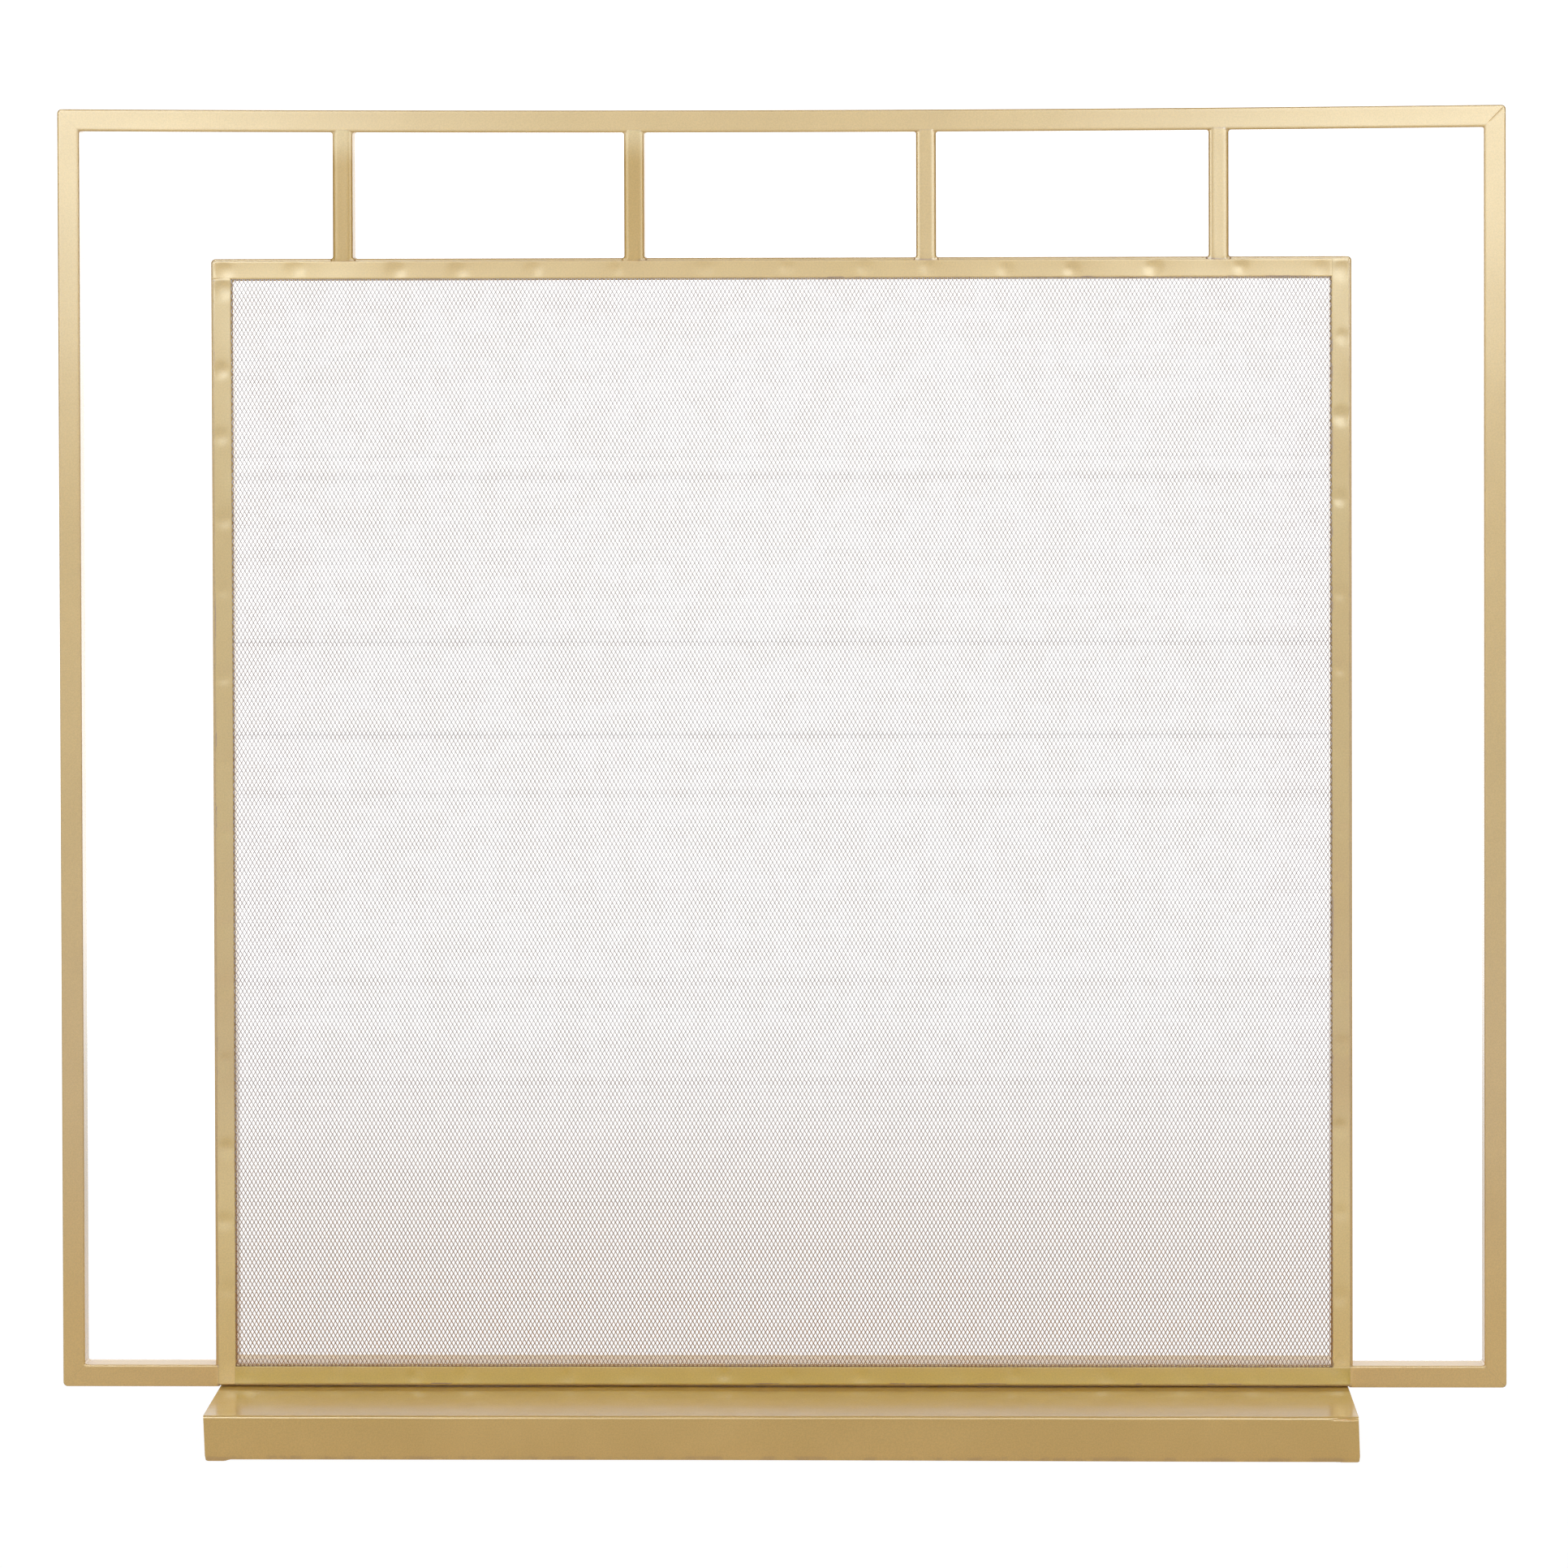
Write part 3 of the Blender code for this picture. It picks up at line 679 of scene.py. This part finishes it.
def rounded_box(name, low, high, radius, lean=0.0):
    """A box swept along X with rounded edges; lean shifts its lower side along X."""
    width, depth = high[2] - low[2], high[1] - low[1]
    ring = section(width, depth, radius, flat_steps=(4, 8), corner_steps=3)
    length = high[0] - low[0]
    rounding = np.array((0, 0.15, 0.5, 1.0)) * min(radius, length / 3)
    stations = np.concatenate([low[0] + rounding, high[0] - rounding[::-1]])
    shrink = radius * (1 - np.sqrt(1 - (1 - rounding / max(rounding[-1], 1e-9)) ** 2))
    shrink = np.concatenate([shrink, shrink[::-1]])
    x = np.repeat(stations[:, None], len(ring), 1)
    z = low[2] + width / 2 + (ring[None, :, 0] - width / 2) * (1 - 2 * shrink / width)[:, None]
    y = (low[1] + high[1]) / 2 + ring[None, :, 1] * (1 - 2 * shrink / depth)[:, None]
    x = x + lean * (BASE_HIGH.z - z) / BASE_HIGH.z
    return swept(name, np.stack([x, y, z], -1))


def base_ends_and_feet(paint):
    """End plates, welded in, and the pads that carry the base."""
    for side in ("left", "right"):
        node = f"base_end_{side}"
        low, high = (np.array(corner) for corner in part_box(node))
        low[1] -= END_GROW
        high[1] += END_GROW
        high[2] += END_GROW
        low[2] += END_RAISE
        low[0] += END_BACK * (side == "left")
        high[0] -= END_BACK * (side == "right")
        mesh = rounded_box(node, low, high, 0.4 * MM, FLANGE_LEAN)
        add_piece(node + "_finish", mesh, paint, "base_paint", node)
        for row in ("front", "back"):
            node = f"base_foot_{row}_{side}"
            low, high = (np.array(corner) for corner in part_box(node))
            low[:2] += FOOT_INSET
            high[:2] -= FOOT_INSET
            high[2] += 0.9 * MM
            low[0] += FLANGE_LEAN * (side == "left")
            high[0] += FLANGE_LEAN * (side == "right")
            mesh = rounded_box(node, low, high, 0.45 * MM)
            add_piece(node + "_finish", mesh, paint, "base_paint", node)


# ---------------------------------------------------------------- materials
# Colours are linear RGB.
GOLD = (0.70, 0.445, 0.125)
GOLD_SHADE = (0.64, 0.40, 0.10)
# painted light: paler gold that the frame's paint turns to near the floor, fading out by 0.26 m
FRAME_PAINTED_LIGHT_LOW = (0.84, 0.55, 0.18)
BASE_GOLD = (0.80, 0.51, 0.135)
BASE_GOLD_SHADE = (0.74, 0.465, 0.11)
# painted shade: darker, deeper gold on the base near the screen's foot, standing for its shadow and the gold
# light bounced there
BASE_PAINTED_SHADE = (0.60, 0.38, 0.05)
LEVEL_GOLD = (0.76, 0.505, 0.155)
# painted reflected light: deeper gold on the bottom strip, standing for gold light thrown up from the base's top
BOTTOM_STRIP_PAINTED_REFLECTION = (0.68, 0.475, 0.065)
STRIP_GOLD = (0.67, 0.455, 0.14)
# painted light: paler gold that the side strips turn to near the floor, fading out by 0.28 m
SIDE_STRIP_PAINTED_LIGHT_LOW = (0.88, 0.635, 0.23)
# painted highlight: paler gold near the tops of struts 1 and 2, where the light catches them
STRUT_TOP_PAINTED_HIGHLIGHT = (0.92, 0.70, 0.35)
WORN = (0.34, 0.19, 0.12)
MESH_LOW_PAINT = (0.40, 0.20, 0.08)
# painted glare: the mesh's colour higher up, pale and grey, standing for bright light behind it
MESH_PAINTED_GLARE = (0.72, 0.655, 0.67)
MESH_GLARE_HEIGHTS = (0.05, 0.32)  # heights between which the mesh's colour turns to the painted glare
PAINT_METAL = 0.005
PAINT_SPECULAR = 0.05
PAINT_ROUGHNESS = (0.64, 0.76)
COAT_ROUGHNESS = 0.16
COAT_IOR = 1.7
ARRIS = (0.51, 0.57)  # pointiness at which the paint starts to wear, and is worn
SPECK = (0.95, 1.05)
FULL_COAT = {"coat": 1.0, "peel": 0.06, "grain": 0.13}


def node_adder(tree):
    """A function that adds a node to a tree, linking sockets and setting plain values."""

    def node(kind, inputs=None, **settings):
        made = tree.nodes.new(kind)
        for key, value in settings.items():
            setattr(made, key, value)
        for key, value in (inputs or {}).items():
            if isinstance(value, bpy.types.NodeSocket):
                tree.links.new(value, made.inputs[key])
            else:
                made.inputs[key].default_value = value
        return made

    return node


def new_material(name):
    """A material, its node tree, its shader, and a function that adds nodes to it."""
    material = bpy.data.materials.new(name)
    material.use_nodes = True
    tree = material.node_tree
    return material, tree, tree.nodes["Principled BSDF"], node_adder(tree)


def maths(node, operation, *values):
    """The result of a Math node."""
    return node("ShaderNodeMath", dict(enumerate(values)), operation=operation).outputs["Value"]


def ramp(node, value, low, high, low_out=0.0, high_out=1.0):
    """A smooth remapping of a value."""
    made = node(
        "ShaderNodeMapRange",
        {"Value": value, "From Min": low, "From Max": high, "To Min": low_out, "To Max": high_out},
        interpolation_type="SMOOTHSTEP",
    )
    return made.outputs["Result"]


def mixed(node, factor, first, second, blend="MIX"):
    """A colour mix."""
    made = node("ShaderNodeMix", data_type="RGBA", blend_type=blend)
    tree = made.id_data
    for key, value in ((0, factor), (6, first), (7, second)):
        if isinstance(value, bpy.types.NodeSocket):
            tree.links.new(value, made.inputs[key])
        else:
            made.inputs[key].default_value = value if key == 0 else (*value, 1.0)
    return made.outputs[2]


def paint_material(name, gold, shade, wear, coat, peel, grain, glare_heights=None, painted_highlight=None, deep=None):
    """Satin metallic paint: clouded colour, orange peel, fine grain, and thin dark wear on its arrises.

    glare_heights is the heights between which gold turns to shade, a painted glare that pales the
    colour higher up. painted_highlight is a colour, and the heights between which this painted
    highlight comes in. deep is a colour of painted light or shade, an axis, and how far out along it
    the colour is full and gone.
    """
    material, tree, shader, node = new_material(name)
    place = node("ShaderNodeTexCoord").outputs["Object"]

    def along(axis):
        return node("ShaderNodeSeparateXYZ", {"Vector": place}).outputs[axis]

    def noise(scale, detail=2.0, rough=0.5):
        made = node("ShaderNodeTexNoise", {"Vector": place, "Scale": scale, "Detail": detail, "Roughness": rough})
        return made.outputs["Fac"]

    cloud = ramp(node, noise(7.0, 3.0), 0.3, 0.7)
    mottle = ramp(node, noise(55.0, 4.0, 0.6), 0.3, 0.7)
    fine = noise(900.0, 3.0, 0.65)
    # painted glare: where heights are given, the colour turns from the first to the second with height
    turned = ramp(node, along("Z"), *glare_heights) if glare_heights else cloud
    colour = mixed(node, turned, gold, shade)
    colour = mixed(node, ramp(node, mottle, 0.0, 1.0, 0.0, 0.22), colour, shade)
    # painted light or shade: a colour blended in by distance along one axis
    if deep:
        painted_light_colour, axis, full, gone = deep
        distance = maths(node, "ABSOLUTE", along(axis))
        colour = mixed(node, ramp(node, distance, full, gone, 1.0, 0.0), colour, painted_light_colour)
    # painted highlight: a paler colour blended in between the given heights
    if painted_highlight:
        highlight_colour, low, high = painted_highlight
        height = maths(node, "ADD", along("Z"), ramp(node, cloud, 0.0, 1.0, -0.004, 0.004))
        colour = mixed(node, ramp(node, height, low, high), colour, highlight_colour)
    speck = ramp(node, fine, 0.35, 0.65, *SPECK)
    bright = node("ShaderNodeCombineColor", {"Red": speck, "Green": speck, "Blue": speck}).outputs["Color"]
    colour = mixed(node, 1.0, colour, bright, "MULTIPLY")
    arris = ramp(node, node("ShaderNodeNewGeometry").outputs["Pointiness"], *ARRIS)
    worn = maths(node, "MULTIPLY", arris, ramp(node, mottle, 0.2, 0.9, 0.35, 1.0))
    colour = mixed(node, ramp(node, worn, 0.0, 1.0, 0.0, wear), colour, WORN)
    tree.links.new(colour, shader.inputs["Base Color"])
    tree.links.new(ramp(node, mottle, 0.0, 1.0, *PAINT_ROUGHNESS), shader.inputs["Roughness"])
    shader.inputs["Metallic"].default_value = PAINT_METAL
    shader.inputs["Specular IOR Level"].default_value = PAINT_SPECULAR
    shader.inputs["Coat Weight"].default_value = coat
    shader.inputs["Coat Roughness"].default_value = COAT_ROUGHNESS
    shader.inputs["Coat IOR"].default_value = COAT_IOR
    skin = node("ShaderNodeBump", {"Height": noise(330.0), "Strength": peel, "Distance": 0.0002})
    skin = skin.outputs["Normal"]
    tooth = node("ShaderNodeBump", {"Height": fine, "Strength": grain, "Distance": 0.00008, "Normal": skin})
    tree.links.new(tooth.outputs["Normal"], shader.inputs["Normal"])
    tree.links.new(skin, shader.inputs["Coat Normal"])
    return material


def zinc_material():
    """Bright zinc plating: cloudy spangle and dull patches."""
    material, tree, shader, node = new_material("zinc_plate_finish")
    place = node("ShaderNodeTexCoord").outputs["Object"]
    cloud = node("ShaderNodeTexNoise", {"Vector": place, "Scale": 420.0, "Detail": 4.0}).outputs["Fac"]
    cells = node("ShaderNodeTexVoronoi", {"Vector": place, "Scale": 900.0}).outputs["Distance"]
    colour = mixed(node, ramp(node, cloud, 0.3, 0.7), (0.62, 0.63, 0.64), (0.42, 0.43, 0.44))
    tree.links.new(colour, shader.inputs["Base Color"])
    tree.links.new(ramp(node, cells, 0.0, 0.7, 0.26, 0.46), shader.inputs["Roughness"])
    shader.inputs["Metallic"].default_value = 1.0
    bump = node("ShaderNodeBump", {"Height": cloud, "Strength": 0.3, "Distance": 0.00005})
    tree.links.new(bump.outputs["Normal"], shader.inputs["Normal"])
    return material


# ---------------------------------------------------------------- stage, lights and camera
WHITE = (1.0, 1.0, 1.0, 1.0)
FLOOR_REACH = 30.0
FLOOR_GREY = (0.80, 0.80, 0.80, 1)
FLOOR_GLOW = 1.06  # how bright the floor looks beside the screen
BACKDROP_GLOW = 1.31  # and the over-bright backdrop it runs into
BACKDROP_START = 0.0
BACKDROP_END = 3.2
HORIZON_GLOW = 1.245  # the same past the floor's far edge, so that no line shows there
FLOOR_SHADE = 0.08  # share of the floor's look that real light and shadow give
CARD_Y = -3.0
CARD_HALF_WIDTH = 2.6
CARD_TOP = 4.2
CARD_MIDDLE = 3.6  # strengths of the card's parts
CARD_SIDES = 8.3
CARD_LOW = 2.5
CARD_TINT = (1.0, 1.06, 0.98, 1.0)
ROOM_FRONT = 0.28
ROOM_BEHIND = 1.08
ROOM_ABOVE = 2.2
ROOM_HORIZON = 1.9
KEY_RADIANCE = 1.6
KEY_SIZE = (1.35, 1.8)
KEY_PLACE = (1.9, -3.8, 1.15)
KEY_TARGET = (0, 0, 0.4)
CAMERA_PLACE = (0.1076, -4.8969, 0.900)
CAMERA_YAW = -0.0216
CAMERA_PITCH = -0.06111
CAMERA_ROLL = -0.0028
CAMERA_LENS = 154.25
CAMERA_SHIFT = -0.108


def stage_plane(name, corners, material):
    """A flat piece of the stage."""
    mesh = bpy.data.meshes.new(name)
    mesh.from_pydata(corners, [], [(0, 1, 2, 3)])
    mesh.materials.append(material)
    plane = bpy.data.objects.new(name, mesh)
    bpy.context.scene.collection.objects.link(plane)
    return plane


def floor():
    """A plain pale floor that runs, unseen, into an over-bright backdrop."""
    material, tree, shader, node = new_material("pale_floor")
    shader.inputs["Base Color"].default_value = FLOOR_GREY
    shader.inputs["Roughness"].default_value = 0.9
    shader.inputs["Specular IOR Level"].default_value = 0.0
    lit = shader.outputs["BSDF"]
    place = node("ShaderNodeTexCoord").outputs["Object"]
    along = node("ShaderNodeSeparateXYZ", {"Vector": place}).outputs["Y"]
    glow = ramp(node, along, BACKDROP_START, BACKDROP_END, FLOOR_GLOW, BACKDROP_GLOW)
    glow = node("ShaderNodeEmission", {"Strength": glow}).outputs["Emission"]
    seen = node("ShaderNodeMixShader", {0: FLOOR_SHADE, 1: glow, 2: lit}).outputs["Shader"]
    # reflections see it brighter towards the camera and far behind the screen
    mirrored = ramp(node, along, -2.0, -0.3, 2.6, 0.9)
    mirrored = maths(node, "ADD", mirrored, ramp(node, along, 0.8, 4.0, 0.0, 0.8))
    mirrored = node("ShaderNodeEmission", {"Strength": mirrored}).outputs["Emission"]
    path = node("ShaderNodeLightPath").outputs
    unseen = node("ShaderNodeMixShader", {0: path["Is Glossy Ray"], 1: lit, 2: mirrored}).outputs["Shader"]
    final = node("ShaderNodeMixShader", {0: path["Is Camera Ray"], 1: unseen, 2: seen}).outputs["Shader"]
    tree.links.new(final, tree.nodes["Material Output"].inputs["Surface"])
    size = FLOOR_REACH
    stage_plane("floor", [(-size, -size, 0), (size, -size, 0), (size, size, 0), (-size, size, 0)], material)


def gloss_card():
    """A tall soft panel before the screen that only reflections see: bright high up and to both sides."""
    material, tree, _, node = new_material("gloss_card")
    place = node("ShaderNodeTexCoord").outputs["Object"]
    parts = node("ShaderNodeSeparateXYZ", {"Vector": place}).outputs
    aside = maths(node, "ABSOLUTE", maths(node, "ADD", parts["X"], 0.1))
    level = ramp(node, aside, 0.15, 0.80, CARD_MIDDLE, CARD_SIDES)
    level = maths(node, "MULTIPLY", level, ramp(node, aside, 1.4, 2.2, 1.0, 0.2))
    level = maths(node, "SUBTRACT", level, CARD_LOW)
    level = maths(node, "MULTIPLY", level, ramp(node, parts["Z"], 0.52, 1.02))
    level = maths(node, "MULTIPLY", level, ramp(node, parts["Z"], 2.4, CARD_TOP, 1.0, 0.4))
    level = maths(node, "ADD", level, CARD_LOW)
    glow = node("ShaderNodeEmission", {"Color": CARD_TINT, "Strength": level})
    tree.links.new(glow.outputs["Emission"], tree.nodes["Material Output"].inputs["Surface"])
    half, top = CARD_HALF_WIDTH, CARD_TOP
    corners = [(half, CARD_Y, 0.02), (-half, CARD_Y, 0.02), (-half, CARD_Y, top), (half, CARD_Y, top)]
    card = stage_plane("gloss_card", corners, material)
    card.visible_camera = False
    card.visible_diffuse = False
    card.visible_transmission = False
    card.visible_shadow = False


def world():
    """Soft room light: bright behind the screen, dim at the sides and above."""
    surround = bpy.data.worlds.new("studio")
    bpy.context.scene.world = surround
    surround.use_nodes = True
    tree = surround.node_tree
    tree.nodes.clear()
    node = node_adder(tree)
    direction = node("ShaderNodeTexCoord").outputs["Generated"]
    parts = node("ShaderNodeSeparateXYZ", {"Vector": direction}).outputs
    side = maths(node, "ABSOLUTE", parts["X"])
    level = ramp(node, parts["Y"], 0.35, 0.85, ROOM_FRONT, ROOM_BEHIND)
    level = maths(node, "MULTIPLY", level, ramp(node, side, 0.45, 0.95, 1.0, 0.55))
    level = maths(node, "MULTIPLY", level, ramp(node, parts["Z"], 0.25, 0.8, 1.0, ROOM_ABOVE))
    level = maths(node, "MULTIPLY", level, ramp(node, parts["Z"], 0.04, 0.13, ROOM_HORIZON, 1.0))
    room = node("ShaderNodeBackground", {"Color": WHITE, "Strength": level})
    glare = node("ShaderNodeBackground", {"Color": WHITE, "Strength": HORIZON_GLOW})
    seen = node("ShaderNodeLightPath").outputs["Is Camera Ray"]
    final = node("ShaderNodeMixShader", {0: seen, 1: room.outputs[0], 2: glare.outputs[0]})
    out = node("ShaderNodeOutputWorld")
    tree.links.new(final.outputs[0], out.inputs["Surface"])


def softbox(name, centre):
    """A soft rectangular light aimed at the screen."""
    data = bpy.data.lights.new(name, "AREA")
    data.shape = "RECTANGLE"
    data.size, data.size_y = KEY_SIZE
    data.energy = KEY_RADIANCE * math.pi * KEY_SIZE[0] * KEY_SIZE[1]
    lamp = bpy.data.objects.new(name, data)
    bpy.context.scene.collection.objects.link(lamp)
    aim = Vector(KEY_TARGET) - Vector(centre)
    lamp.matrix_world = Matrix.Translation(Vector(centre)) @ aim.to_track_quat("-Z", "Y").to_matrix().to_4x4()
    lamp.visible_glossy = False


def lights():
    """Two large softboxes, left and right of the camera, and the card."""
    aside, before, above = KEY_PLACE
    softbox("key_left", (-aside, before, above))
    softbox("key_right", (aside, before, above))
    gloss_card()


def camera():
    """The camera, nearly level with the top rail and a little right of the middle."""
    data = bpy.data.cameras.new("camera")
    data.lens = CAMERA_LENS
    data.sensor_width = 36.0
    data.shift_y = CAMERA_SHIFT
    data.clip_end = 200.0
    ahead = Vector((
        math.sin(CAMERA_YAW) * math.cos(CAMERA_PITCH),
        math.cos(CAMERA_YAW) * math.cos(CAMERA_PITCH),
        math.sin(CAMERA_PITCH),
    ))
    right = Vector((math.cos(CAMERA_YAW), -math.sin(CAMERA_YAW), 0))
    up = right.cross(ahead)
    rolled_right = math.cos(CAMERA_ROLL) * right + math.sin(CAMERA_ROLL) * up
    rolled_up = math.cos(CAMERA_ROLL) * up - math.sin(CAMERA_ROLL) * right
    turned = Matrix((rolled_right, rolled_up, -ahead)).transposed().to_4x4()
    holder = bpy.data.objects.new("camera", data)
    bpy.context.scene.collection.objects.link(holder)
    holder.matrix_world = Matrix.Translation(Vector(CAMERA_PLACE)) @ turned
    bpy.context.scene.camera = holder


# ---------------------------------------------------------------- assembly
def fasteners(zinc):
    """The screws, washers and nuts keep their CAD shapes and get the zinc finish."""
    for name, node in NODES.items():
        if name.startswith(("base_screw", "base_washer", "rail_nut")):
            for slot in node.material_slots:
                slot.material = zinc


bpy.context.scene.view_settings.view_transform = "Standard"
camera()
lights()
world()
floor()

# painted light: the frame's paint turns paler towards the floor
frame_paint = paint_material(
    "brass_paint_with_painted_light", GOLD, GOLD_SHADE, 0.9, **FULL_COAT, deep=(FRAME_PAINTED_LIGHT_LOW, "Z", 0.03, 0.26)
)
# painted highlight: struts 1 and 2 turn paler near their tops
strut_paint = paint_material(
    "brass_paint_thin_coat", GOLD_SHADE, GOLD, 0.45, 0.5, 0.10, 0.20, painted_highlight=(STRUT_TOP_PAINTED_HIGHLIGHT, 0.926, 0.951)
)
sill_paint = paint_material("brass_paint_sill", GOLD, GOLD_SHADE, 0.1, **FULL_COAT)
# painted shade: the base turns darker and deeper gold near the screen's foot
base_paint = paint_material(
    "base_paint_with_painted_shade", BASE_GOLD, BASE_GOLD_SHADE, 0.3, 1.0, 0.05, 0.13, deep=(BASE_PAINTED_SHADE, "Y", 0.015, 0.09)
)
# painted reflected light: the bottom strip turns deeper gold, for light thrown up off the base
strip_paint = paint_material(
    "brass_paint_strips", LEVEL_GOLD, GOLD, 0.7, **FULL_COAT, deep=(BOTTOM_STRIP_PAINTED_REFLECTION, "Z", 0.040, 0.062)
)
# painted light: the side strips turn paler towards the floor
side_strip_paint = paint_material(
    "brass_paint_side_strips", STRIP_GOLD, GOLD_SHADE, 0.7, **FULL_COAT, deep=(SIDE_STRIP_PAINTED_LIGHT_LOW, "Z", 0.16, 0.28)
)
# painted glare: the mesh turns paler and greyer higher up
mesh_paint = paint_material(
    "mesh_paint_with_painted_glare", MESH_LOW_PAINT, MESH_PAINTED_GLARE, 0.3, 0.5, 0.03, 0.10, glare_heights=MESH_GLARE_HEIGHTS
)

outer_frame(frame_paint)
top_struts(frame_paint, strut_paint)
panel_tubes(frame_paint, sill_paint)
clamp_strips(strip_paint, side_strip_paint)
mesh_bands(mesh_paint)
base_body(base_paint)
base_ends_and_feet(base_paint)
fasteners(zinc_material())

bpy.context.view_layer.update()
